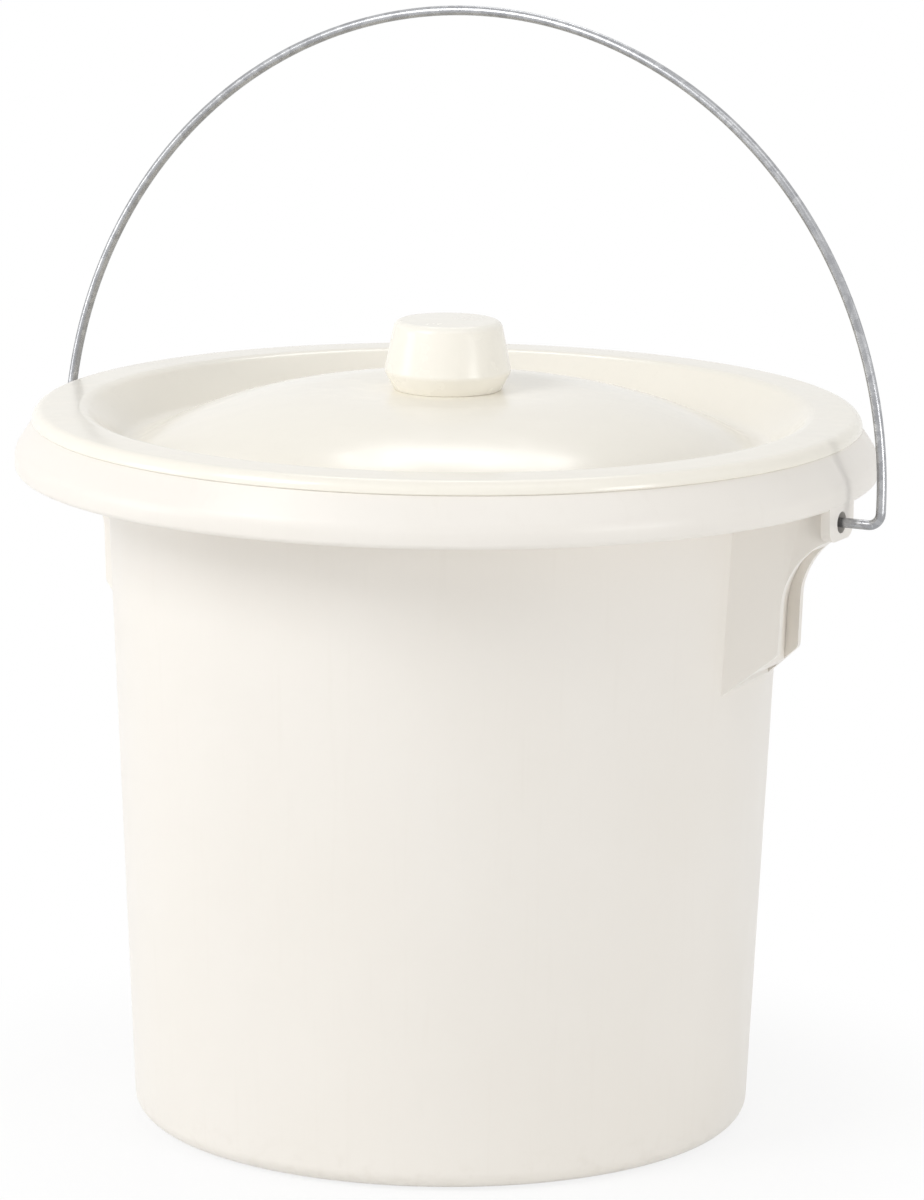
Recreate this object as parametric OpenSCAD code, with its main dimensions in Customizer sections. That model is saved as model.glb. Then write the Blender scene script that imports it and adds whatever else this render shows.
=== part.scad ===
// Lidded slop pail of moulded plastic: a pail with a wide turned-down rim, a sunk lid
// with a knob, and a wire bail that swings in two ears under the rim.
// Millimetres, Z up. The origin is the middle of the base and the ears lie on the X axis.

/* [Pail] */
// Outside diameter of the wall at the base
base_d = 223; // [208:1:234]
// Outside diameter of the wall, carried up to the height of the seat
mouth_d = 245.6; // [238:0.2:250]
// Height of the rim's seat above the base
pail_h = 254.4; // [200:0.2:320]
// Thickness of the floor, wall and rim
wall = 2.8; // [2.2:0.1:3.4]
// Outside rounding of the corner at the base
foot_r = 7; // [5:0.5:14]
// Inside rounding where the wall spreads into the rim
flare_r = 18; // [16:0.5:20]

/* [Rim] */
// Outside diameter of the rim
rim_d = 310; // [304:1:330]
// Height of the rim, from its seat to its lower edge
rim_drop = 17.6; // [16:0.2:22]
// Width of the shoulder that slopes down from the seat
shoulder_w = 6.8; // [5:0.2:8]
// Height of that shoulder
shoulder_h = 10.4; // [8:0.2:12]
// Rounding at the foot of the shoulder
shoulder_r = 7; // [3:0.5:8]

/* [Ears] */
// Width of the ear behind its tab
ear_w = 15; // [14.5:0.5:17]
// Width of the ear where it runs into the wall
ear_root_w = 32; // [28:1:36]
// How far the ear's sides run straight, from the tab towards the wall
ear_reach = 31; // [29:0.5:31.5]
// Widening of each side of the ear towards the wall, in degrees
ear_draft = 2; // [0.5:0.5:4]
// Thickness of the ear's sides and face
ear_wall = 2.6; // [2.2:0.1:2.8]
// Width of the tab that the wire passes through
tab_w = 20.8; // [19:0.2:26]
// Thickness of the tab
tab_t = 3.5; // [2.5:0.1:4]
// Depth of the tab below the rim
tab_drop = 11.4; // [11:0.2:16]
// Rounding of the tab's lower corners
tab_r = 5; // [2:0.5:7]
// Depth of the wire's hole below the rim
hole_drop = 5.2; // [5:0.1:6]
// Step from the tab back to the face below it
ear_step = 17.5; // [16.5:0.2:19]
// Least distance from the pail's wall to the ear's face
ear_room = 12; // [10:0.5:14]
// Rise of the ear's underside from its face out to the tab
ear_rise = 8; // [4:0.5:9]
// Radius of the sweep between that underside and the face
sweep_r = 26; // [12:0.5:27]
// Height of the face below the tab
ear_face_h = 41.5; // [34:0.5:60]
// Rise of the ear's slanted foot from the wall to the face
ear_foot_rise = 14; // [6:0.5:20]

/* [Lid] */
// Outside diameter of the lid
lid_d = 297.6; // [290:0.2:320]
// Thickness of the lid
lid_t = 2.6; // [2:0.1:3.2]
// Width of the raised ring round the lid
ring_w = 18.8; // [15:0.2:20]
// How far outside the line of the pail's wall the ring may start, clear of the mouth's rounding
mouth_lap = 10; // [8:0.5:10.5]
// Height of the ring above the seat
ring_h = 5; // [4:0.2:9]
// Diameter of the valley between the ring and the dome
valley_d = 227; // [220:1:229]
// How far inside the line of the pail's wall the valley stays
valley_gap = 8.2; // [8:0.1:9]
// Depth of the valley below the seat
valley_drop = 10.4; // [6:0.2:12]
// Height of the dome's flat top above the seat
dome_h = 11.5; // [6:0.5:24]
// Diameter of the dome's flat top
dome_flat_d = 80; // [60:1:100]

/* [Knob] */
// Diameter of the knob at its widest
knob_d = 45.6; // [40:0.2:54]
// Diameter of the knob's foot
knob_foot_d = 38.6; // [34:0.2:40]
// Diameter of the knob at the top
knob_top_d = 38.2; // [32:0.2:40]
// Height of the knob
knob_h = 24.8; // [18:0.2:32]
// Height of the widest part above the foot
knob_waist_h = 6.6; // [4:0.2:9]
// Thickness of the knob's shell
knob_t = 2.8; // [2.2:0.1:3.4]
// Diameter of the boss that takes the screw
boss_d = 9; // [7:0.5:14]

/* [Screw] */
// Diameter of the screw
screw_d = 3; // [2.5:0.1:3.2]
// Length of the screw below its head
screw_len = 16; // [12:1:18]
// Diameter of the screw's head
head_d = 7.2; // [6:0.2:9]
// Height of the screw's head
head_h = 2.4; // [2:0.1:3]
// Clearance of the screw in the lid, all round
screw_gap = 0.3; // [0.2:0.1:0.4]

/* [Bail] */
// Diameter of the wire
wire_d = 3.5; // [3:0.1:4]
// Clearance of the wire in the ears, all round
hole_gap = 2.1; // [1.6:0.1:2.3]
// How far the bail is pushed along its axis towards the right ear
bail_shift = 5.9; // [0:0.1:6]
// Clear gap between the rim and the nearer leg
leg_gap = 0.5; // [0.4:0.1:5]
// Bending radius of the wire at each foot
bend_r = 4.5; // [3.5:0.1:5]
// Straight part of each leg, from the bend to the arch
leg_straight = 1.7; // [0.5:0.1:20]
// Length of the right foot inside its tab
foot_hold = 12; // [8:0.5:12]
// Lean of the bail from upright, towards the back
bail_lean = 4; // [-60:1:60]

/* [Hidden] */
$fn = 96;
arc_steps = 10;

// Radii and heights that follow from the sizes above
base_r = base_d / 2;
mouth_r = mouth_d / 2;
rim_r = rim_d / 2;
lid_r = lid_d / 2;
seat_r = rim_r - shoulder_w;
flare = min(flare_r, 0.75 * (seat_r - mouth_r + wall));
ring_in_r = min(lid_r - ring_w, mouth_r + mouth_lap - flare_r + flare);
rim_low = pail_h - rim_drop;
draft = atan((mouth_r - base_r) / pail_h);
ring_top = pail_h + ring_h;
valley_r = min(valley_d / 2, mouth_r - valley_gap);
valley_z = pail_h - valley_drop;
dome_z = pail_h + dome_h;
dome_flat_r = dome_flat_d / 2;
break_r = (dome_flat_r + valley_r) / 2;
tab_x = rim_r - 0.5;
tab_low = rim_low - tab_drop;
face_x = max(tab_x - ear_step, wall_r(tab_low - ear_rise) + ear_room);
pivot_z = rim_low - hole_drop;
bail_half = rim_r + wire_d / 2 + leg_gap + bail_shift;
foot_len = min(
    bail_half + bail_shift - (tab_x - tab_t) + foot_hold,
    bail_half - bail_shift - wall_r(pivot_z) - ear_wall - 2
);
ear_foot_z = tab_low - ear_face_h;
ear_root_z = ear_foot_z - ear_foot_rise;
above = pail_h + 5;

// Outside radius of the wall at a height
function wall_r(z) = base_r + (mouth_r - base_r) * z / pail_h;

// A path is a list of corners, each [across, up, rounding]
function xy(p) = [p[0], p[1]];
function unit(v) = v / norm(v);
function left_of(a, b) = let (u = unit(xy(b) - xy(a))) [-u[1], u[0]];
function turn(a, b, c) = sign(cross(xy(b) - xy(a), xy(c) - xy(b)));

// Points of one corner, rounded between its neighbours
function corner(a, b, c) = b[2] == 0 ? [xy(b)] :
    let (
        u = unit(xy(a) - xy(b)),
        w = unit(xy(c) - xy(b)),
        half = acos(u * w) / 2,
        centre = xy(b) + unit(u + w) * b[2] / sin(half),
        from = xy(b) + u * b[2] / tan(half) - centre,
        to = xy(b) + w * b[2] / tan(half) - centre,
        start = atan2(from[1], from[0]),
        sweep = (atan2(to[1], to[0]) - start + 540) % 360 - 180
    )
    [for (i = [0:arc_steps])
        let (angle = start + sweep * i / arc_steps)
        centre + b[2] * [cos(angle), sin(angle)]];

// Closed outline of a list of corners
function outline(p) = let (n = len(p))
    [for (i = [0:n - 1]) each corner(p[(i + n - 1) % n], p[i], p[(i + 1) % n])];

// The same path moved to its left by d, with its roundings kept concentric
function beside(p, d) = let (n = len(p))
    [for (i = [0:n - 1])
        let (
            before = i == 0 ? left_of(p[0], p[1]) : left_of(p[i - 1], p[i]),
            after = i == n - 1 ? before : left_of(p[i], p[i + 1]),
            at = xy(p[i]) + d * (before + after) / (1 + before * after),
            bend = i == 0 || i == n - 1 ? 0 : turn(p[i - 1], p[i], p[i + 1])
        )
        [at[0], at[1], p[i][2] == 0 ? 0 : max(p[i][2] - bend * d, 0.3)]];

// Section of a skin t thick below a path, with the two corners of its free edge rounded
function sheet(p, t, outer, inner) = let (q = beside(p, -t), n = len(p))
    [for (i = [0:2 * n - 1])
        let (k = i < n ? p[i] : q[2 * n - 1 - i])
        i == n - 1 ? [k[0], k[1], outer] : i == n ? [k[0], k[1], inner] : k];

// Skin of the pail from the middle of the floor, up the inside and over the rim
function pail_skin() = [
    [0, wall, 0],
    [wall_r(wall) - wall / cos(draft), wall, foot_r - wall],
    [wall_r(pail_h) - wall / cos(draft), pail_h, flare],
    [seat_r, pail_h, 0.6],
    [rim_r, pail_h - shoulder_h, shoulder_r],
    [rim_r, rim_low, 0]
];

// Top of the lid from its middle out to its lip
function lid_skin() =
    let (
        fall = dome_z - valley_z,
        slope = atan(fall / (valley_r - break_r)),
        rise = atan((ring_top - valley_z) / (ring_in_r - valley_r)),
        spare = norm([valley_r - break_r, fall]) - (break_r - dome_flat_r),
        valley_round = min(7, 0.9 * spare / tan((slope + rise) / 2))
    )
    [
        [0, dome_z, 0],
        [break_r, dome_z, (break_r - dome_flat_r) / tan(slope / 2)],
        [valley_r, valley_z, valley_round],
        [ring_in_r, ring_top, min(6, 0.32 * (lid_r - ring_in_r))],
        [lid_r, ring_top - 0.4, min(4.2, 0.23 * (lid_r - ring_in_r))],
        [lid_r, pail_h, 0]
    ];

// Under edge of the ear, from inside the tab, round the sweep and down the face
function ear_under(low_z) =
    let (corner_z = tab_low - ear_rise)
    [
        [tab_x - tab_t / 2, tab_low + 0.4, 0],
        [face_x, corner_z, sweep_r],
        [face_x - (corner_z - low_z) * tan(draft), low_z, 3]
    ];

// Ear from the side, its slanted foot carried on through the wall
function ear_side() =
    let (
        under = ear_under(ear_foot_z),
        root_r = wall_r(ear_root_z),
        depth = 20,
        slant = ear_foot_rise / (under[2][0] - root_r)
    )
    concat(
        [[root_r - depth, above, 0], [tab_x - tab_t / 2, above, 0]],
        under,
        [[root_r - depth, ear_root_z - depth * slant, 0]]
    );

// Ear from above, narrow behind the tab and spread at the wall
function ear_plan() =
    let (
        root_x = wall_r(rim_low) - 2.3,
        end_x = root_x - 8.2,
        near_x = max(tab_x - ear_reach, root_x + 2),
        far = ear_w / 2,
        near = far + (tab_x - near_x) * tan(ear_draft),
        spread = (ear_root_w / 2 - near) / (near_x - root_x),
        end = near + (near_x - end_x) * spread
    )
    [
        [end_x, -end, 0],
        [near_x, -near, 9],
        [tab_x, -far, 0],
        [tab_x, far, 0],
        [near_x, near, 9],
        [end_x, end, 0]
    ];

// Hollow of the ear from the side, open below
function pocket_side() =
    let (
        low_z = ear_root_z - 2,
        inner = beside(ear_under(low_z), -ear_wall)
    )
    [
        [wall_r(low_z) + ear_wall, low_z, 0],
        [wall_r(above + 1) + ear_wall, above + 1, 0],
        [tab_x - tab_t, above + 1, 0],
        [tab_x - tab_t, inner[0][1], 0],
        inner[1],
        [inner[2][0], inner[2][1], 0]
    ];

// Hollow of the ear from above
function pocket_plan() =
    let (
        far = ear_w / 2 - ear_wall,
        near = far + ear_reach * tan(ear_draft)
    )
    [
        [tab_x - ear_reach, -near],
        [tab_x, -far],
        [tab_x, far],
        [tab_x - ear_reach, near]
    ];

// Solid with one outline seen from the side and another seen from above
module two_views(side, plan) {
    intersection() {
        rotate([90, 0, 0])
            linear_extrude(height = 4 * ear_root_w, center = true)
                polygon(side);
        linear_extrude(height = above + 2)
            polygon(plan);
    }
}

// Everything within the pail and above its rim, up to the middle of the wall's thickness
module core() {
    mid = beside(pail_skin(), -wall / 2);
    step_z = pail_h - shoulder_h - 2;
    rotate_extrude()
        polygon(outline([
            mid[0], mid[1], mid[2], mid[3], mid[4],
            [rim_r - wall / 2, step_z, 0],
            [rim_r + 10, step_z, 0],
            [rim_r + 10, above + 10, 0],
            [0, above + 10, 0]
        ]));
}

// One ear: a hollow bracket under the rim, with the wire's hole in a tab at its outer end
module ear() {
    difference() {
        union() {
            two_views(outline(ear_side()), outline(ear_plan()));
            translate([tab_x, 0, 0])
                rotate([90, 0, -90])
                    linear_extrude(height = tab_t)
                        polygon(outline([
                            [-tab_w / 2, tab_low, tab_r],
                            [tab_w / 2, tab_low, tab_r],
                            [tab_w / 2, above, 0],
                            [-tab_w / 2, above, 0]
                        ]));
        }
        two_views(outline(pocket_side()), pocket_plan());
        translate([tab_x - tab_t - 1, 0, pivot_z])
            rotate([0, 90, 0])
                cylinder(d = wire_d + 2 * hole_gap, h = tab_t + 3);
        core();
    }
}

module pail() {
    color("ivory")
    union() {
        rotate_extrude()
            polygon(outline(sheet(pail_skin(), wall, 0.8 * wall, 0.15 * wall)));
        ear();
        rotate([0, 0, 180])
            ear();
    }
}

module lid() {
    color("linen")
    difference() {
        rotate_extrude()
            polygon(outline(sheet(lid_skin(), lid_t, 0.5, 0.5)));
        translate([0, 0, dome_z - lid_t - 1])
            cylinder(d = screw_d + 2 * screw_gap, h = lid_t + 2);
    }
}

// Hollow knob, open below, with a boss that stands on the lid
module knob() {
    roof = knob_h - knob_t;
    color("cornsilk")
    translate([0, 0, dome_z])
    difference() {
        rotate_extrude()
            polygon(outline([
                [0, 0, 0],
                [knob_foot_d / 2, 0, 0],
                [knob_d / 2, knob_waist_h, 2.5],
                [knob_top_d / 2, knob_h, 3],
                [0, knob_h, 0]
            ]));
        difference() {
            translate([0, 0, -1])
                cylinder(d = knob_foot_d - 2 * knob_t, h = roof + 1);
            translate([0, 0, -2])
                cylinder(d = boss_d, h = knob_h);
        }
        translate([0, 0, -1])
            cylinder(d = screw_d + 0.1, h = screw_len - lid_t + 1.5);
    }
}

// Screw from below, through the lid into the knob's boss
module knob_screw() {
    color("silver")
    translate([0, 0, dome_z - lid_t]) {
        cylinder(d = screw_d, h = screw_len);
        translate([0, 0, -head_h])
            cylinder(d = head_d, h = head_h);
    }
}

// Half of the wire, from the end of one foot up to the top of the arch
module half_bail() {
    arch_z = bend_r + leg_straight;
    translate([bail_half - foot_len, 0, 0])
        rotate([0, 90, 0])
            cylinder(d = wire_d, h = foot_len - bend_r);
    translate([bail_half - bend_r, 0, bend_r])
        rotate([90, 0, 0])
            rotate([0, 0, -90])
                rotate_extrude(angle = 90)
                    translate([bend_r, 0])
                        circle(d = wire_d);
    translate([bail_half, 0, bend_r])
        cylinder(d = wire_d, h = leg_straight);
    translate([0, 0, arch_z])
        rotate([90, 0, 0])
            rotate_extrude(angle = 90)
                translate([bail_half, 0])
                    circle(d = wire_d);
}

module bail() {
    color("dimgray")
    translate([bail_shift, 0, pivot_z])
    rotate([-bail_lean, 0, 0])
    union() {
        half_bail();
        mirror([1, 0, 0])
            half_bail();
    }
}

pail();
lid();
knob();
knob_screw();
bail();
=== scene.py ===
import math

import bmesh
import bpy
from mathutils import Matrix, Vector


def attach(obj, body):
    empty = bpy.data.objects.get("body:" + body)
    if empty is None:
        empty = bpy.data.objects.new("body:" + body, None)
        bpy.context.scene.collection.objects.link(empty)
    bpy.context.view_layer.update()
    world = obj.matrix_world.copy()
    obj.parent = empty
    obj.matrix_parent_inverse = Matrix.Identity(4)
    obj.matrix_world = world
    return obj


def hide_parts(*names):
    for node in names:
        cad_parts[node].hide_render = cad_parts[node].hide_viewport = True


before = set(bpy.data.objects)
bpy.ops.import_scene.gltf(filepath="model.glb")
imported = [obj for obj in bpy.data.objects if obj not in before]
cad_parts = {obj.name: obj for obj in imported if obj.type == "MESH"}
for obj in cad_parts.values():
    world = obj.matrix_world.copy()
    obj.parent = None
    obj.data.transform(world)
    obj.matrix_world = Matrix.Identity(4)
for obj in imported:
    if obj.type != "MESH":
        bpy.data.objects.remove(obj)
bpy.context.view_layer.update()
mm = 0.001
samePoint = 0.002 * mm  # points this close are one point
closeBy = 0.01 * mm  # merging after a boolean, and picking the ends of the wire
nearBy = 0.05 * mm  # play when edges are picked by their place
print("frame:", ", ".join(sorted(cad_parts)))


def linear(hexColour):  # sRGB hex to linear RGBA
    parts = [int(hexColour[i:i + 2], 16) / 255 for i in (1, 3, 5)]
    return [c / 12.92 if c <= 0.04045 else ((c + 0.055) / 1.055) ** 2.4 for c in parts] + [1.0]


def addNode(tree, kind, inputs=None, **settings):  # a node with its settings, values and links
    node = tree.nodes.new(kind)
    for name, value in settings.items():
        setattr(node, name, value)
    for name, value in (inputs or {}).items():
        if isinstance(value, bpy.types.NodeSocket):
            tree.links.new(value, node.inputs[name])
        else:
            node.inputs[name].default_value = value
    return node


def newMaterial(name):  # a material and its node tree, still empty
    material = bpy.data.materials.new(name)
    material.use_nodes = True
    material.node_tree.nodes.clear()
    return material, material.node_tree


# modelling moves that the pieces share

def objectMode():
    if bpy.context.mode != "OBJECT":
        bpy.ops.object.mode_set(mode="OBJECT")
    bpy.ops.object.select_all(action="DESELECT")


def makeActive(piece, mode="OBJECT"):
    objectMode()
    piece.select_set(True)
    bpy.context.view_layer.objects.active = piece
    if mode == "EDIT":
        bpy.ops.object.mode_set(mode="EDIT")


def selectVerts(piece, test):  # in edit mode, by place
    bpy.ops.mesh.select_all(action="DESELECT")
    bpy.ops.mesh.select_mode(type="VERT")
    shape = bmesh.from_edit_mesh(piece.data)
    for vert in shape.verts:
        vert.select = test(vert.co)
    shape.select_flush(True)
    bmesh.update_edit_mesh(piece.data)


def selectEdges(piece, test):  # in edit mode, by the places of both ends
    bpy.ops.mesh.select_all(action="DESELECT")
    bpy.ops.mesh.select_mode(type="EDGE")
    shape = bmesh.from_edit_mesh(piece.data)
    for edge in shape.edges:
        edge.select = all(test(vert.co) for vert in edge.verts)
    bmesh.update_edit_mesh(piece.data)


def cornerSetback(before, here, after, radius):  # from a corner to where its rounding starts
    return radius / math.tan((before - here).angle(after - here) / 2)


# A path of corners (x, y, z, rounding) in mm: one vertex is extruded from corner to corner,
# then each corner is bevelled round. It stays in edit mode, all selected.
def drawPath(name, corners, closed=False, arcSteps=12):
    objectMode()
    bpy.ops.mesh.primitive_circle_add(vertices=3, radius=mm)
    piece = bpy.context.object
    piece.name = piece.data.name = name
    bpy.ops.object.mode_set(mode="EDIT")
    bpy.ops.mesh.select_mode(type="VERT")
    bpy.ops.mesh.select_all(action="SELECT")
    bpy.ops.mesh.merge(type="CENTER")
    points = [Vector(corner[:3]) * mm for corner in corners]
    start = bmesh.from_edit_mesh(piece.data).verts[:][0].co.copy()
    bpy.ops.transform.translate(value=points[0] - start)
    for here, there in zip(points, points[1:]):
        bpy.ops.mesh.extrude_vertices_move(TRANSFORM_OT_translate={"value": there - here})
    if closed:
        ends = points[0], points[-1]
        selectVerts(piece, lambda co: min((co - end).length for end in ends) < samePoint)
        bpy.ops.mesh.edge_face_add()
    count = len(points)
    for i, corner in enumerate(corners):
        if corner[3]:
            here = points[i]
            after = points[(i + 1) % count]
            offset = cornerSetback(points[i - 1], here, after, corner[3] * mm)
            selectVerts(piece, lambda co: (co - here).length < samePoint)
            bpy.ops.mesh.bevel(offset=offset, segments=arcSteps, affect="VERTICES",
                               clamp_overlap=False)
    bpy.ops.mesh.select_all(action="SELECT")
    return piece


def spinPath(steps):  # a turned form round the Z axis, from the path that is selected
    bpy.ops.mesh.spin(steps=steps, angle=2 * math.pi, center=(0, 0, 0), axis=(0, 0, 1))
    bpy.ops.mesh.select_all(action="SELECT")
    bpy.ops.mesh.remove_doubles(threshold=samePoint)
    bpy.ops.mesh.normals_make_consistent(inside=False)


def faceUp(piece):  # turns an open turned skin so that its middle looks up
    shape = bmesh.from_edit_mesh(piece.data)
    middle = min(shape.faces, key=lambda face: face.calc_center_median().xy.length)
    if middle.normal.z < 0:
        bpy.ops.mesh.flip_normals()


def prism(name, corners, push, arcSteps=12):  # a closed path, filled and pushed out into a block
    piece = drawPath(name, corners, closed=True, arcSteps=arcSteps)
    bpy.ops.mesh.edge_face_add()
    bpy.ops.mesh.extrude_region_move(TRANSFORM_OT_translate={"value": Vector(push) * mm})
    bpy.ops.mesh.select_all(action="SELECT")
    bpy.ops.mesh.normals_make_consistent(inside=False)
    objectMode()
    return piece


def applyModifier(piece, kind, **settings):
    makeActive(piece)
    modifier = piece.modifiers.new(kind.lower(), kind)
    for name, value in settings.items():
        setattr(modifier, name, value)
    bpy.ops.object.modifier_apply(modifier=modifier.name)


def combine(piece, tool, operation):  # a boolean with a tool that is then thrown away
    applyModifier(piece, "BOOLEAN", operation=operation, object=tool, solver="EXACT")
    bpy.data.objects.remove(tool)


def cleanMesh(piece):  # merges what a boolean leaves doubled
    makeActive(piece, "EDIT")
    bpy.ops.mesh.select_all(action="SELECT")
    bpy.ops.mesh.remove_doubles(threshold=closeBy)
    bpy.ops.mesh.dissolve_degenerate(threshold=closeBy)
    objectMode()


def finishPiece(piece, material, body, node, sharp=32, flats=False):
    makeActive(piece)
    bpy.ops.object.shade_smooth_by_angle(angle=math.radians(sharp))
    if flats:  # large flat faces keep their own normals beside the rounded edges
        applyModifier(piece, "WEIGHTED_NORMAL", weight=90, keep_sharp=True)
    piece.data.materials.clear()
    piece.data.materials.append(material)
    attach(piece, body)
    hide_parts(node)
    print(piece.name, len(piece.data.polygons), "faces")


plasticSizes = {  # in mm, apart from the stretch
    "tintDrift": 70,
    "drawLine": 3,
    "drawStretch": 0.03,
    "rubHeight": 16,
    "rubMark": 5,
    "glossPatch": 14,
    "wave": 28,
    "waveDepth": 1.2,
    "grain": 0.9,
    "grainDepth": 0.12,
}


# Polypropylene, injection moulded in a polished tool: soft gloss, a slightly waxy skin with
# long shallow waves, faint draw lines up the walls and a tint that drifts a little.
def mouldedPolypropylene(name, light, dark, scuff, shine):
    p = plasticSizes
    material, tree = newMaterial(name)
    place = addNode(tree, "ShaderNodeTexCoord").outputs["Object"]
    drift = addNode(tree, "ShaderNodeTexNoise",
                    {"Vector": place, "Scale": 1 / (p["tintDrift"] * mm), "Detail": 2.0})
    tint = addNode(tree, "ShaderNodeMix",
                   {0: drift.outputs["Fac"], 6: linear(light), 7: linear(dark)}, data_type="RGBA")
    stretched = addNode(tree, "ShaderNodeMapping",
                        {"Vector": place, "Scale": (1, 1, p["drawStretch"])})
    drawLines = addNode(tree, "ShaderNodeTexNoise",
                        {"Vector": stretched.outputs["Vector"],
                         "Scale": 1 / (p["drawLine"] * mm), "Detail": 3.0})
    streak = addNode(tree, "ShaderNodeMapRange",
                     {"Value": drawLines.outputs["Fac"], "From Min": 0.58, "From Max": 0.8,
                      "To Min": 0.0, "To Max": 0.05})
    streaked = addNode(tree, "ShaderNodeMix",
                       {0: streak.outputs["Result"], 6: tint.outputs[2], 7: linear(scuff)},
                       data_type="RGBA")
    height = addNode(tree, "ShaderNodeSeparateXYZ", {"Vector": place})
    nearFloor = addNode(tree, "ShaderNodeMapRange",
                        {"Value": height.outputs["Z"], "From Min": p["rubHeight"] * mm,
                         "From Max": 0.0, "To Min": 0.0, "To Max": 1.0})
    rubbed = addNode(tree, "ShaderNodeTexNoise",
                     {"Vector": place, "Scale": 1 / (p["rubMark"] * mm), "Detail": 5.0})
    rubMark = addNode(tree, "ShaderNodeMapRange",
                      {"Value": rubbed.outputs["Fac"], "From Min": 0.5, "From Max": 0.75,
                       "To Min": 0.0, "To Max": 0.22})
    wear = addNode(tree, "ShaderNodeMath",
                   {0: nearFloor.outputs["Result"], 1: rubMark.outputs["Result"]},
                   operation="MULTIPLY")
    colour = addNode(tree, "ShaderNodeMix",
                     {0: wear.outputs["Value"], 6: streaked.outputs[2], 7: linear(scuff)},
                     data_type="RGBA")
    patches = addNode(tree, "ShaderNodeTexNoise",
                      {"Vector": place, "Scale": 1 / (p["glossPatch"] * mm), "Detail": 4.0})
    gloss = addNode(tree, "ShaderNodeMapRange",
                    {"Value": patches.outputs["Fac"], "From Min": 0.3, "From Max": 0.7,
                     "To Min": shine, "To Max": shine + 0.1})
    waves = addNode(tree, "ShaderNodeTexNoise",
                    {"Vector": place, "Scale": 1 / (p["wave"] * mm), "Detail": 1.0})
    wavy = addNode(tree, "ShaderNodeBump",
                   {"Height": waves.outputs["Fac"], "Strength": 0.12,
                    "Distance": p["waveDepth"] * mm})
    grain = addNode(tree, "ShaderNodeTexNoise",
                    {"Vector": place, "Scale": 1 / (p["grain"] * mm), "Detail": 2.0})
    skin = addNode(tree, "ShaderNodeBump",  # the tool's grit, drawn coarser so that it shows
                   {"Height": grain.outputs["Fac"], "Normal": wavy.outputs["Normal"],
                    "Strength": 0.08, "Distance": p["grainDepth"] * mm})
    shader = addNode(tree, "ShaderNodeBsdfPrincipled",
                     {"Base Color": colour.outputs[2], "Roughness": gloss.outputs["Result"],
                      "IOR": 1.49, "Specular IOR Level": 0.39, "Normal": skin.outputs["Normal"]})
    addNode(tree, "ShaderNodeOutputMaterial", {"Surface": shader.outputs["BSDF"]})
    return material


steelSizes = {"spangle": 2.5, "scratch": 0.7, "scratchDepth": 0.05, "cloud": 3}  # in mm


# Mild steel wire, drawn and galvanised: grey, satin, with a fine spangle and drawing scratches.
def galvanisedWire():
    material, tree = newMaterial("galvanised_steel_wire")
    place = addNode(tree, "ShaderNodeTexCoord").outputs["Object"]
    spangle = addNode(tree, "ShaderNodeTexVoronoi",
                      {"Vector": place, "Scale": 1 / (steelSizes["spangle"] * mm)})
    tone = addNode(tree, "ShaderNodeSeparateXYZ", {"Vector": spangle.outputs["Color"]})
    colour = addNode(tree, "ShaderNodeMix",
                     {0: tone.outputs["X"], 6: linear("#9C9DA0"), 7: linear("#B4B5B7")},
                     data_type="RGBA")
    scratch = addNode(tree, "ShaderNodeTexNoise",
                      {"Vector": place, "Scale": 1 / (steelSizes["scratch"] * mm), "Detail": 3.0})
    rough = addNode(tree, "ShaderNodeMapRange",
                    {"Value": scratch.outputs["Fac"], "From Min": 0.3, "From Max": 0.7,
                     "To Min": 0.24, "To Max": 0.38})
    skin = addNode(tree, "ShaderNodeBump",
                   {"Height": scratch.outputs["Fac"], "Strength": 0.15,
                    "Distance": steelSizes["scratchDepth"] * mm})
    shader = addNode(tree, "ShaderNodeBsdfPrincipled",
                     {"Base Color": colour.outputs[2], "Metallic": 1.0,
                      "Roughness": rough.outputs["Result"], "Normal": skin.outputs["Normal"]})
    addNode(tree, "ShaderNodeOutputMaterial", {"Surface": shader.outputs["BSDF"]})
    return material


# Steel screw, zinc plated: brighter than the wire, with a faint yellow drift from passivation.
def zincPlatedScrew():
    material, tree = newMaterial("zinc_plated_steel")
    place = addNode(tree, "ShaderNodeTexCoord").outputs["Object"]
    cloud = addNode(tree, "ShaderNodeTexNoise",
                    {"Vector": place, "Scale": 1 / (steelSizes["cloud"] * mm), "Detail": 2.0})
    colour = addNode(tree, "ShaderNodeMix",
                     {0: cloud.outputs["Fac"], 6: linear("#BDBDB8"), 7: linear("#C9C4B2")},
                     data_type="RGBA")
    rough = addNode(tree, "ShaderNodeMapRange",
                    {"Value": cloud.outputs["Fac"], "From Min": 0.3, "From Max": 0.7,
                     "To Min": 0.22, "To Max": 0.34})
    shader = addNode(tree, "ShaderNodeBsdfPrincipled",
                     {"Base Color": colour.outputs[2], "Metallic": 1.0,
                      "Roughness": rough.outputs["Result"]})
    addNode(tree, "ShaderNodeOutputMaterial", {"Surface": shader.outputs["BSDF"]})
    return material


pailPlastic = mouldedPolypropylene("cream_polypropylene", "#F2EEE8", "#EEE9E1", "#CFC6B8", 0.3)
lidPlastic = mouldedPolypropylene("cream_polypropylene_lid", "#F8F4EA", "#F4EFE3", "#D2CABC", 0.14)
knobPlastic = mouldedPolypropylene("ivory_polypropylene", "#FAF7EF", "#F6F2E7", "#D0C9B6", 0.2)
wireSteel = galvanisedWire()
screwSteel = zincPlatedScrew()
print("materials made")

pailSizes = {
    "baseRadius": 111.5,
    "mouthRadius": 122.8,
    "height": 254.4,
    "wall": 2.8,
    "footRound": 7.0,
    "flareRound": 18.0,
    "rimRadius": 155.0,
    "rimDrop": 17.6,
    "shoulderWidth": 6.8,
    "shoulderHeight": 10.4,
    "shoulderRound": 7.0,
    "shoulderEdge": 0.6,
    "lipOuter": 0.75,  # roundings of the rim's lower edge, as shares of the wall
    "lipInner": 0.15,
    "lipSteps": 5,
    "steps": 256,
}


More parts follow.
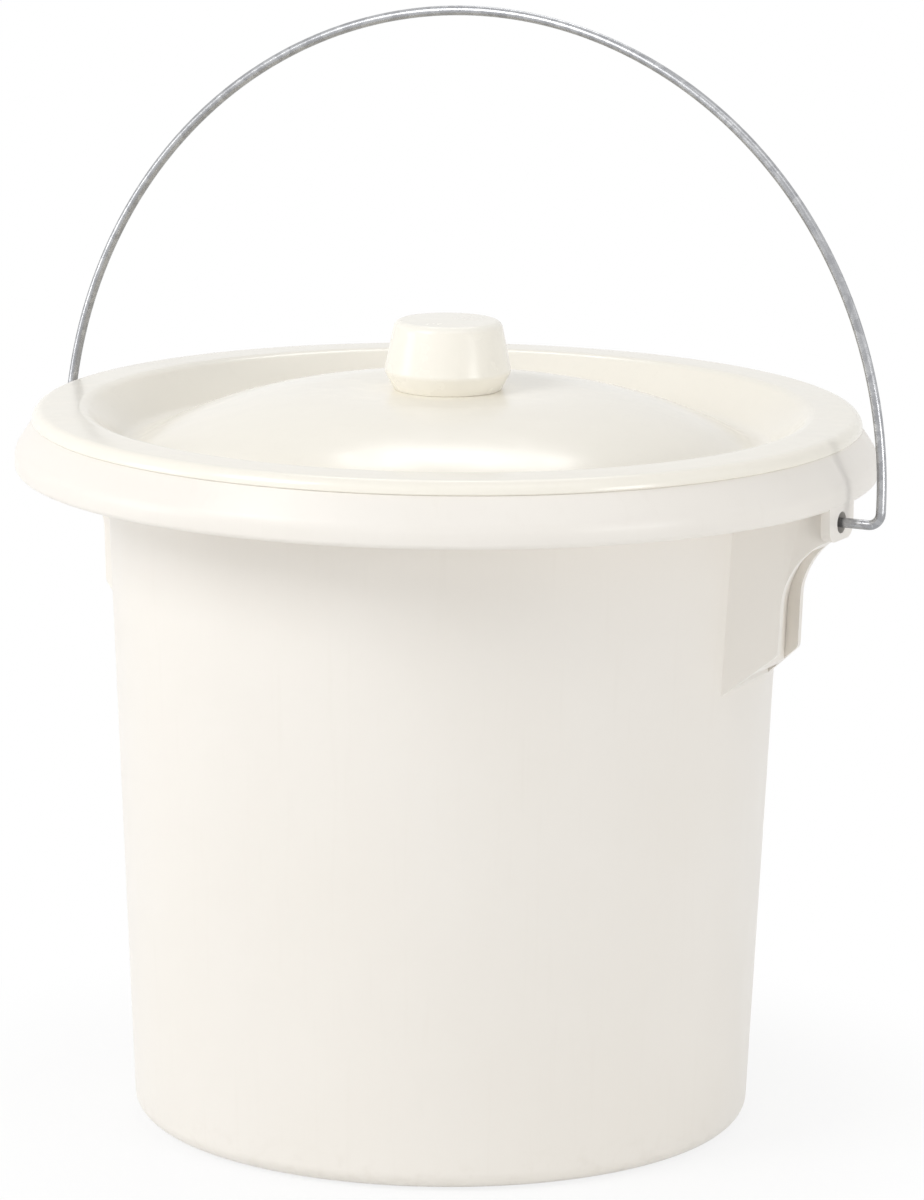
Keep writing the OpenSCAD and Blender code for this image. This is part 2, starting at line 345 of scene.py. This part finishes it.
def wallRadius(z):  # outside of the wall at a height
    s = pailSizes
    return s["baseRadius"] + (s["mouthRadius"] - s["baseRadius"]) * z / s["height"]


def pailSkin(inset):  # upper side of the moulding from the floor over the rim, sunk by inset
    s = pailSizes
    lean = math.atan((s["mouthRadius"] - s["baseRadius"]) / s["height"])
    depth = (s["wall"] - inset) / math.cos(lean)
    floor = s["wall"] - inset
    top = s["height"] - inset
    slope = math.atan(s["shoulderHeight"] / s["shoulderWidth"])
    shift = inset * math.tan(slope / 2)
    drop = inset * math.tan((math.pi / 2 - slope) / 2)
    rim = s["rimRadius"] - inset
    return [
        (0, 0, floor, 0),
        (wallRadius(floor) - depth, 0, floor, s["footRound"] - s["wall"] + inset),
        (wallRadius(top) - depth, 0, top, s["flareRound"] - inset),
        (s["rimRadius"] - s["shoulderWidth"] - shift, 0, top, s["shoulderEdge"]),
        (rim, 0, s["height"] - s["shoulderHeight"] - drop, s["shoulderRound"] - inset),
        (rim, 0, s["height"] - s["rimDrop"], 0),
    ]


def makePailBody():
    s = pailSizes
    body = drawPath("pailBody", pailSkin(0))
    spinPath(s["steps"])
    faceUp(body)
    objectMode()
    applyModifier(body, "SOLIDIFY", thickness=s["wall"] * mm, offset=-1, use_even_offset=True)
    makeActive(body, "EDIT")
    lipZ = (s["height"] - s["rimDrop"]) * mm
    outer, inner = s["rimRadius"] * mm, (s["rimRadius"] - s["wall"]) * mm
    for radius, rounding in ((outer, s["lipOuter"]), (inner, s["lipInner"])):
        selectEdges(body, lambda co: abs(co.z - lipZ) < nearBy
                    and abs(co.xy.length - radius) < nearBy)
        bpy.ops.mesh.bevel(offset=rounding * s["wall"] * mm, segments=s["lipSteps"], affect="EDGES")
    objectMode()
    return body


earSizes = {
    "faceWidth": 18.8,
    "rootX": 111.5,
    "rootDraft": 24,
    "tabDraft": 8,
    "wall": 2.6,
    "recess": 6.0,
    "channelEnd": 146.0,
    "tabX": 154.5,
    "tabWidth": 20.8,
    "tabThickness": 3.5,
    "tabLow": 225.4,
    "tabRound": 5.0,
    "holeZ": 231.6,
    "holeDiameter": 7.7,
    "holeSides": 48,
    "underLift": 0.4,
    "step": 17.5,
    "rise": 8.0,
    "sweep": 26.0,
    "footZ": 183.9,
    "footRise": 14.0,
    "footRound": 3,
    "top": 259.4,
    "edge": 0.55,  # overlap clamping holds this bevel back to nearly nothing
    "edgeAngle": 40,
    "edgeSteps": 3,
    "arcSteps": 20,
}

earCuts = {  # the blocks that shape the ear, and how far they run past it
    "half": 40.0,
    "intoWall": 20,
    "below": 2,
    "above": 1,
    "beyond": 5,
    "channelFall": 1,
    "tabUnderTop": 1,
    "holeDepth": 8,
    "planLow": 140.0,
    "planTall": 130.0,
    "coreLow": 242.0,
    "coreHigh": 275.0,
    "coreOut": 175.0,
}


# The underside from the tab round the sweep and down the face, as its corners and the rounding
# between them, sunk by inset and at the tab by tabInset.
def earUnder(lowZ, inset, tabInset):
    e = earSizes
    lean = (pailSizes["mouthRadius"] - pailSizes["baseRadius"]) / pailSizes["height"]
    faceX = e["tabX"] - e["step"]
    cornerZ = e["tabLow"] - e["rise"]
    start = Vector((e["tabX"] - e["tabThickness"] / 2, e["tabLow"] + e["underLift"]))
    corner = Vector((faceX, cornerZ))
    end = Vector((faceX - (cornerZ - lowZ) * lean, lowZ))
    first, second = (corner - start).normalized(), (end - corner).normalized()
    up, inward = Vector((first.y, -first.x)), Vector((second.y, -second.x))
    moved = corner + (up + inward) * inset / (1 + up.dot(inward))
    return [start + up * tabInset, moved, end + inward * inset, e["sweep"] + inset]


def earPlan(name, sink, outerX):  # the ear as seen from above, its sides sunk by sink
    e, c = earSizes, earCuts
    innerX, faceX = e["rootX"], e["tabX"] - e["step"]
    half = e["faceWidth"] / 2 - sink
    wide = half + (faceX - innerX) * math.tan(math.radians(e["rootDraft"]))
    slim = half - (outerX - faceX) * math.tan(math.radians(e["tabDraft"]))
    return prism(name, [
        (innerX, -wide, c["planLow"], 0),
        (faceX, -half, c["planLow"], 0),
        (outerX, -slim, c["planLow"], 0),
        (outerX, slim, c["planLow"], 0),
        (faceX, half, c["planLow"], 0),
        (innerX, wide, c["planLow"], 0),
    ], (0, 0, c["planTall"]))


def makeEar():
    e, c = earSizes, earCuts
    y, through = -c["half"], (0, 2 * c["half"], 0)
    rootZ = e["footZ"] - e["footRise"]
    rootR = wallRadius(rootZ)
    start, corner, foot, sweep = earUnder(e["footZ"], 0, 0)
    slant = e["footRise"] / (foot.x - rootR)
    ear = prism("ear", [
        (rootR - c["intoWall"], y, e["top"], 0),
        (start.x, y, e["top"], 0),
        (start.x, y, start.y, 0),
        (corner.x, y, corner.y, sweep),
        (foot.x, y, foot.y, e["footRound"]),
        (rootR - c["intoWall"], y, rootZ - c["intoWall"] * slant, 0),
    ], through, arcSteps=e["arcSteps"])
    combine(ear, earPlan("earPlan", 0, e["tabX"]), "INTERSECT")
    half, tabTop = e["tabWidth"] / 2, e["top"] - c["tabUnderTop"]
    backX = e["tabX"] - e["tabThickness"]
    tab = [
        (backX, -half, e["tabLow"], e["tabRound"]),
        (backX, half, e["tabLow"], e["tabRound"]),
        (backX, half, tabTop, 0),
        (backX, -half, tabTop, 0),
    ]
    combine(ear, prism("earTab", tab, (e["tabThickness"], 0, 0)), "UNION")
    lowZ, highZ, outX = rootZ - c["below"], e["top"] + c["above"], e["tabX"] + c["beyond"]
    start, corner, foot, sweep = earUnder(lowZ, e["recess"], 0)
    channel = prism("earChannel", [  # the web lies sunk between the edges of the two side walls
        (outX, y, lowZ, 0),
        (outX, y, start.y - c["channelFall"], 0),
        (start.x, y, start.y, 0),
        (corner.x, y, corner.y, sweep),
        (foot.x, y, foot.y, 0),
    ], through, arcSteps=e["arcSteps"])
    combine(channel, earPlan("earChannelPlan", e["wall"], e["channelEnd"]), "INTERSECT")
    start, corner, foot, sweep = earUnder(lowZ, e["recess"] + e["wall"], e["wall"])
    pocket = prism("earPocket", [  # hollow behind the web, open below
        (wallRadius(lowZ) + e["wall"], y, lowZ, 0),
        (wallRadius(highZ) + e["wall"], y, highZ, 0),
        (backX, y, highZ, 0),
        (backX, y, start.y, 0),
        (corner.x, y, corner.y, sweep),
        (foot.x, y, foot.y, 0),
    ], through, arcSteps=e["arcSteps"])
    combine(pocket, earPlan("earPocketPlan", e["wall"], backX), "INTERSECT")
    combine(ear, pocket, "DIFFERENCE")
    objectMode()
    bpy.ops.mesh.primitive_cylinder_add(
        vertices=e["holeSides"], radius=e["holeDiameter"] / 2 * mm, depth=c["holeDepth"] * mm,
        location=Vector((e["tabX"], 0, e["holeZ"])) * mm, rotation=(0, math.pi / 2, 0))
    combine(ear, bpy.context.object, "DIFFERENCE")
    applyModifier(ear, "BEVEL", width=e["edge"] * mm, segments=e["edgeSteps"],
                  limit_method="ANGLE", angle_limit=math.radians(e["edgeAngle"]))
    combine(ear, channel, "DIFFERENCE")
    middle = pailSizes["wall"] / 2  # the ear ends in the middle of the pail's wall
    core = drawPath("earCore", pailSkin(middle)[:5] + [
        (pailSizes["rimRadius"] - middle, 0, c["coreLow"], 0),
        (c["coreOut"], 0, c["coreLow"], 0),
        (c["coreOut"], 0, c["coreHigh"], 0),
        (0, 0, c["coreHigh"], 0),
    ])
    spinPath(pailSizes["steps"])
    objectMode()
    combine(ear, core, "DIFFERENCE")
    cleanMesh(ear)
    return ear


lidSizes = {
    "radius": 148.8,
    "thickness": 2.6,
    "ringWidth": 18.8,
    "ringTop": 259.4,
    "ringFall": 0.4,
    "ringInnerRound": 6,
    "ringOuterRound": 4.2,
    "valleyRadius": 113.5,
    "valleyZ": 244.0,
    "valleyRound": 7,
    "domeZ": 265.9,
    "domeFlatRadius": 40.0,
    "seatZ": 254.4,
    "lipFrom": 140,  # the lip's edges at the seat lie outside this radius
    "lipRound": 0.45,
    "lipSteps": 3,
    "holeDiameter": 3.6,
    "arcSteps": 16,
    "steps": 256,
}


def makeLid():
    s = lidSizes
    breakR = (s["domeFlatRadius"] + s["valleyRadius"]) / 2
    slope = math.atan((s["domeZ"] - s["valleyZ"]) / (s["valleyRadius"] - breakR))
    lid = drawPath("lidShell", [
        (s["holeDiameter"] / 2, 0, s["domeZ"], 0),
        (breakR, 0, s["domeZ"], (breakR - s["domeFlatRadius"]) / math.tan(slope / 2)),
        (s["valleyRadius"], 0, s["valleyZ"], s["valleyRound"]),
        (s["radius"] - s["ringWidth"], 0, s["ringTop"], s["ringInnerRound"]),
        (s["radius"], 0, s["ringTop"] - s["ringFall"], s["ringOuterRound"]),
        (s["radius"], 0, s["seatZ"], 0),
    ], arcSteps=s["arcSteps"])
    spinPath(s["steps"])
    faceUp(lid)
    objectMode()
    applyModifier(lid, "SOLIDIFY", thickness=s["thickness"] * mm, offset=-1, use_even_offset=True)
    makeActive(lid, "EDIT")
    selectEdges(lid, lambda co: abs(co.z - s["seatZ"] * mm) < nearBy
                and co.xy.length > s["lipFrom"] * mm)
    bpy.ops.mesh.bevel(offset=s["lipRound"] * mm, segments=s["lipSteps"], affect="EDGES")
    objectMode()
    return lid


knobSizes = {
    "footRadius": 19.3,
    "footRound": 0.5,
    "waistRadius": 22.8,
    "waistHeight": 6.6,
    "waistRound": 2.5,
    "topRadius": 19.1,
    "topRound": 3,
    "height": 24.8,
    "shell": 2.8,
    "hollowRound": 1.0,
    "hollowEdge": 0.3,
    "bossRadius": 4.5,
    "boreRadius": 1.55,
    "boreDepth": 13.9,
    "steps": 128,
}


def makeKnob():
    s = knobSizes
    z = lidSizes["domeZ"]
    roof = z + s["height"] - s["shell"]
    inside = s["footRadius"] - s["shell"]
    knob = drawPath("knobShell", [
        (0, 0, z + s["boreDepth"], 0),
        (s["boreRadius"], 0, z + s["boreDepth"], 0),
        (s["boreRadius"], 0, z, 0),
        (s["bossRadius"], 0, z, 0),
        (s["bossRadius"], 0, roof, s["hollowRound"]),
        (inside, 0, roof, s["hollowRound"]),
        (inside, 0, z, s["hollowEdge"]),
        (s["footRadius"], 0, z, s["footRound"]),
        (s["waistRadius"], 0, z + s["waistHeight"], s["waistRound"]),
        (s["topRadius"], 0, z + s["height"], s["topRound"]),
        (0, 0, z + s["height"], 0),
    ])
    spinPath(s["steps"])
    objectMode()
    return knob


screwSizes = {
    "headRadius": 3.6,
    "headHeight": 2.4,
    "headRound": 1.6,
    "headEdge": 0.2,
    "shankRadius": 1.5,
    "tipRound": 0.5,
    "length": 16.0,
    "recessLong": 3.8,
    "recessWide": 0.8,
    "recessDeep": 1.3,
    "steps": 48,
}


def makeScrew():
    s = screwSizes
    seat = lidSizes["domeZ"] - lidSizes["thickness"]
    low = seat - s["headHeight"]
    screw = drawPath("knobScrew", [
        (0, 0, low, 0),
        (s["headRadius"], 0, low, s["headRound"]),
        (s["headRadius"], 0, seat, s["headEdge"]),
        (s["shankRadius"], 0, seat, 0),
        (s["shankRadius"], 0, seat + s["length"], s["tipRound"]),
        (0, 0, seat + s["length"], 0),
    ])
    spinPath(s["steps"])
    objectMode()
    a, b = s["recessLong"] / 2, s["recessWide"] / 2
    cross = [
        (a, -b), (a, b), (b, b), (b, a), (-b, a), (-b, b),
        (-a, b), (-a, -b), (-b, -b), (-b, -a), (b, -a), (b, -b),
    ]
    corners = [(x, y, low - s["recessDeep"], 0) for x, y in cross]
    recess = prism("crossRecess", corners, (0, 0, 2 * s["recessDeep"]))
    combine(screw, recess, "DIFFERENCE")
    cleanMesh(screw)
    return screw


bailSizes = {
    "wire": 3.5,
    "half": 163.15,
    "footLength": 30.05,
    "bend": 4.5,
    "straight": 1.7,
    "shift": 5.9,
    "pivotZ": 231.6,
    "lean": 4.0,
    "burr": 0.35,
    "burrSteps": 2,
    "round": 20,
    "archSteps": 160,
    "bendSteps": 12,
}


def pushWire(x, z):  # the open end of the wire goes straight on
    move = Vector((x, 0, z)) * mm
    bpy.ops.mesh.extrude_region_move(TRANSFORM_OT_translate={"value": move})


def bendWire(x, z, turn, steps):  # the open end goes round a centre
    bpy.ops.mesh.spin(steps=steps, angle=turn, center=Vector((x, 0, z)) * mm, axis=(0, 1, 0))


def makeBail():
    s = bailSizes
    bendX = s["half"] - s["bend"]
    objectMode()
    bpy.ops.mesh.primitive_circle_add(vertices=s["round"], radius=s["wire"] / 2 * mm,
                                      rotation=(0, math.pi / 2, 0))
    bail = bpy.context.object
    bail.name = bail.data.name = "bailWire"
    bpy.ops.object.transform_apply(location=False, rotation=True, scale=False)
    bpy.ops.object.mode_set(mode="EDIT")
    bpy.ops.mesh.select_all(action="SELECT")
    bpy.ops.transform.translate(value=Vector((s["half"] - s["footLength"], 0, 0)) * mm)
    pushWire(s["footLength"] - s["bend"], 0)
    bendWire(bendX, s["bend"], math.pi / 2, s["bendSteps"])
    pushWire(0, s["straight"])
    bendWire(0, s["bend"] + s["straight"], math.pi, s["archSteps"])
    pushWire(0, -s["straight"])
    bendWire(-bendX, s["bend"], math.pi / 2, s["bendSteps"])
    pushWire(s["footLength"] - s["bend"], 0)
    for end in (-1, 1):  # the cut ends, their burr taken off
        endX = end * (s["half"] - s["footLength"]) * mm
        selectVerts(bail, lambda co: abs(co.x - endX) < closeBy and abs(co.z) < s["wire"] * mm)
        bpy.ops.mesh.edge_face_add()
        bpy.ops.mesh.bevel(offset=s["burr"] * mm, segments=s["burrSteps"], affect="EDGES")
    bpy.ops.mesh.select_all(action="SELECT")
    bpy.ops.mesh.remove_doubles(threshold=samePoint)
    bpy.ops.mesh.normals_make_consistent(inside=False)
    bpy.ops.transform.rotate(value=math.radians(s["lean"]), orient_axis="X",
                             center_override=(0, 0, 0))
    bpy.ops.transform.translate(value=Vector((s["shift"], 0, s["pivotZ"])) * mm)
    objectMode()
    return bail


pailBody = makePailBody()
finishPiece(pailBody, pailPlastic, "pail", "pail")

earRight = makeEar()
earRight.name = earRight.data.name = "earRight"
makeActive(earRight)
bpy.ops.object.duplicate()
earLeft = bpy.context.object
earLeft.name = earLeft.data.name = "earLeft"
bpy.ops.object.mode_set(mode="EDIT")
bpy.ops.mesh.select_all(action="SELECT")
bpy.ops.transform.rotate(value=math.pi, orient_axis="Z", center_override=(0, 0, 0))
for ear in (earRight, earLeft):
    finishPiece(ear, pailPlastic, "pail", "pail", sharp=35, flats=True)

lidShell = makeLid()
finishPiece(lidShell, lidPlastic, "lid", "lid")
knobShell = makeKnob()
finishPiece(knobShell, knobPlastic, "lid", "knob")
knobScrew = makeScrew()
finishPiece(knobScrew, screwSteel, "lid", "knob_screw")
bailWire = makeBail()
finishPiece(bailWire, wireSteel, "bail", "bail", sharp=50)

# The camera and the lights go round the object by azimuth: 0 is in front, at -Y,
# and plus is to the right.
viewSizes = {  # degrees and metres, lens and sensor in mm
    "azimuth": 26.65,
    "pitch": 11.54,
    "roll": 0.6,
    "distance": 2.2,
    "cameraHeight": 0.63762,
    "sideways": 0.0059455,
    "lens": 186.55,
    "sensor": 36,
    "clipEnd": 50,
}


def around(azimuth, elevation, distance, target):
    a, e = math.radians(azimuth), math.radians(elevation)
    out = Vector((math.sin(a) * math.cos(e), -math.cos(a) * math.cos(e), math.sin(e)))
    return target + distance * out


def makeCamera():
    v = viewSizes
    a, p, r = (math.radians(v[key]) for key in ("azimuth", "pitch", "roll"))
    forward = Vector((-math.sin(a) * math.cos(p), math.cos(a) * math.cos(p), -math.sin(p)))
    level = Vector((math.cos(a), math.sin(a), 0))
    upright = level.cross(forward)
    right = math.cos(r) * level + math.sin(r) * upright
    up = math.cos(r) * upright - math.sin(r) * level
    objectMode()
    bpy.ops.object.camera_add()
    camera = bpy.context.object
    turn = Matrix((right, up, -forward)).transposed().to_4x4()
    height = Vector((0, 0, v["cameraHeight"]))
    place = around(v["azimuth"], 0, v["distance"], height) + level * v["sideways"]
    camera.matrix_world = Matrix.Translation(place) @ turn
    camera.data.sensor_width = v["sensor"]
    camera.data.lens = v["lens"]
    camera.data.clip_end = v["clipEnd"]
    bpy.context.scene.camera = camera


lampAim = 0.15  # height in metres that every softbox looks at
softboxes = {  # degrees and metres
    "keyLeft": {"azimuth": -27, "elevation": 37, "distance": 2.0,
                "size": (0.85, 0.85), "watts": 14.8},
    "lowLeft": {"azimuth": -56, "elevation": 8, "distance": 2.0,
                "size": (0.7, 0.7), "watts": 6.0},
    "lowRight": {"azimuth": 75, "elevation": 6, "distance": 2.2,
                 "size": (0.6, 0.6), "watts": 9.6},
    "sideRight": {"azimuth": 110, "elevation": 26, "distance": 2.2,
                  "size": (0.7, 0.7), "watts": 1.0},
    "highRight": {"azimuth": 60, "elevation": 60, "distance": 2.0,
                  "size": (0.9, 0.9), "watts": 2.8},
    "topBack": {"azimuth": 205, "elevation": 54, "distance": 1.9,
                "size": (0.75, 0.3), "watts": 3.4},
}


def makeSoftbox(name, azimuth, elevation, distance, size, watts):
    target = Vector((0, 0, lampAim))
    objectMode()
    bpy.ops.object.light_add(type="AREA", location=around(azimuth, elevation, distance, target))
    lamp = bpy.context.object
    lamp.name = lamp.data.name = name
    lamp.rotation_euler = (target - lamp.location).to_track_quat("-Z", "Y").to_euler()
    lamp.data.shape = "RECTANGLE"
    lamp.data.size, lamp.data.size_y = size
    lamp.data.energy = watts


def seenDirectly(tree):  # 1 to the camera and in reflections, 0 to the light on the object
    path = addNode(tree, "ShaderNodeLightPath").outputs
    shown = addNode(tree, "ShaderNodeMath",
                    {0: path["Is Camera Ray"], 1: path["Is Glossy Ray"]}, operation="MAXIMUM")
    return addNode(tree, "ShaderNodeMath",
                   {0: shown.outputs["Value"], 1: path["Is Transmission Ray"]},
                   operation="MAXIMUM").outputs["Value"]


studioSizes = {
    "floor": 14.0,  # metres; the gap, the opening and the shadow are in mm
    "floorGap": 0.5,
    "ambient": 0.5,
    "opening": 100,
    "shadowShare": 0.18,
    "shadowNear": 105,
    "shadowFar": 240,
}


# White paper floor: white to the camera and in reflections, and under the pail its shadow stays.
def makeStudio():
    s = studioSizes
    objectMode()
    bpy.ops.mesh.primitive_plane_add(size=s["floor"], location=(0, 0, -s["floorGap"] * mm))
    floor = bpy.context.object
    floor.name = floor.data.name = "paperFloor"
    material, tree = newMaterial("white_paper")
    paper = addNode(tree, "ShaderNodeBsdfDiffuse", {"Color": linear("#F4F4F3")})
    bright = addNode(tree, "ShaderNodeEmission", {"Color": linear("#FFFFFF"), "Strength": 1.0})
    place = addNode(tree, "ShaderNodeTexCoord").outputs["Object"]
    away = addNode(tree, "ShaderNodeVectorMath", {0: place}, operation="LENGTH").outputs["Value"]
    fade = addNode(tree, "ShaderNodeMapRange",  # the shadow counts close by and fades to white
                   {"Value": away, "From Min": s["shadowNear"] * mm,
                    "From Max": s["shadowFar"] * mm,
                    "To Min": 1 - s["shadowShare"], "To Max": 1.0},
                   interpolation_type="SMOOTHSTEP")
    share = addNode(tree, "ShaderNodeMath",
                    {0: seenDirectly(tree), 1: fade.outputs["Result"]}, operation="MULTIPLY")
    mixed = addNode(tree, "ShaderNodeMixShader",
                    {0: share.outputs["Value"], 1: paper.outputs["BSDF"],
                     2: bright.outputs["Emission"]})
    back = addNode(tree, "ShaderNodeNewGeometry").outputs["Backfacing"]
    under = addNode(tree, "ShaderNodeMath",  # open under the base, which then gets light from below
                    {0: away, 1: s["opening"] * mm}, operation="LESS_THAN")
    seeThrough = addNode(tree, "ShaderNodeMath",
                         {0: back, 1: under.outputs["Value"]}, operation="MAXIMUM")
    clear = addNode(tree, "ShaderNodeBsdfTransparent")
    side = addNode(tree, "ShaderNodeMixShader",
                   {0: seeThrough.outputs["Value"], 1: mixed.outputs["Shader"],
                    2: clear.outputs["BSDF"]})
    addNode(tree, "ShaderNodeOutputMaterial", {"Surface": side.outputs["Shader"]})
    floor.data.materials.append(material)
    world = bpy.data.worlds.new("studio")
    bpy.context.scene.world = world
    world.use_nodes = True
    tree = world.node_tree
    tree.nodes.clear()
    soft = addNode(tree, "ShaderNodeBackground",
                   {"Color": linear("#FFFFFF"), "Strength": s["ambient"]})
    white = addNode(tree, "ShaderNodeBackground", {"Color": linear("#FFFFFF"), "Strength": 1.0})
    mixed = addNode(tree, "ShaderNodeMixShader",
                    {0: seenDirectly(tree), 1: soft.outputs["Background"],
                     2: white.outputs["Background"]})
    addNode(tree, "ShaderNodeOutputWorld", {"Surface": mixed.outputs["Shader"]})


makeCamera()
for name, box in softboxes.items():
    makeSoftbox(name, **box)
makeStudio()
bpy.context.scene.view_settings.view_transform = "Standard"
print("camera and light set")
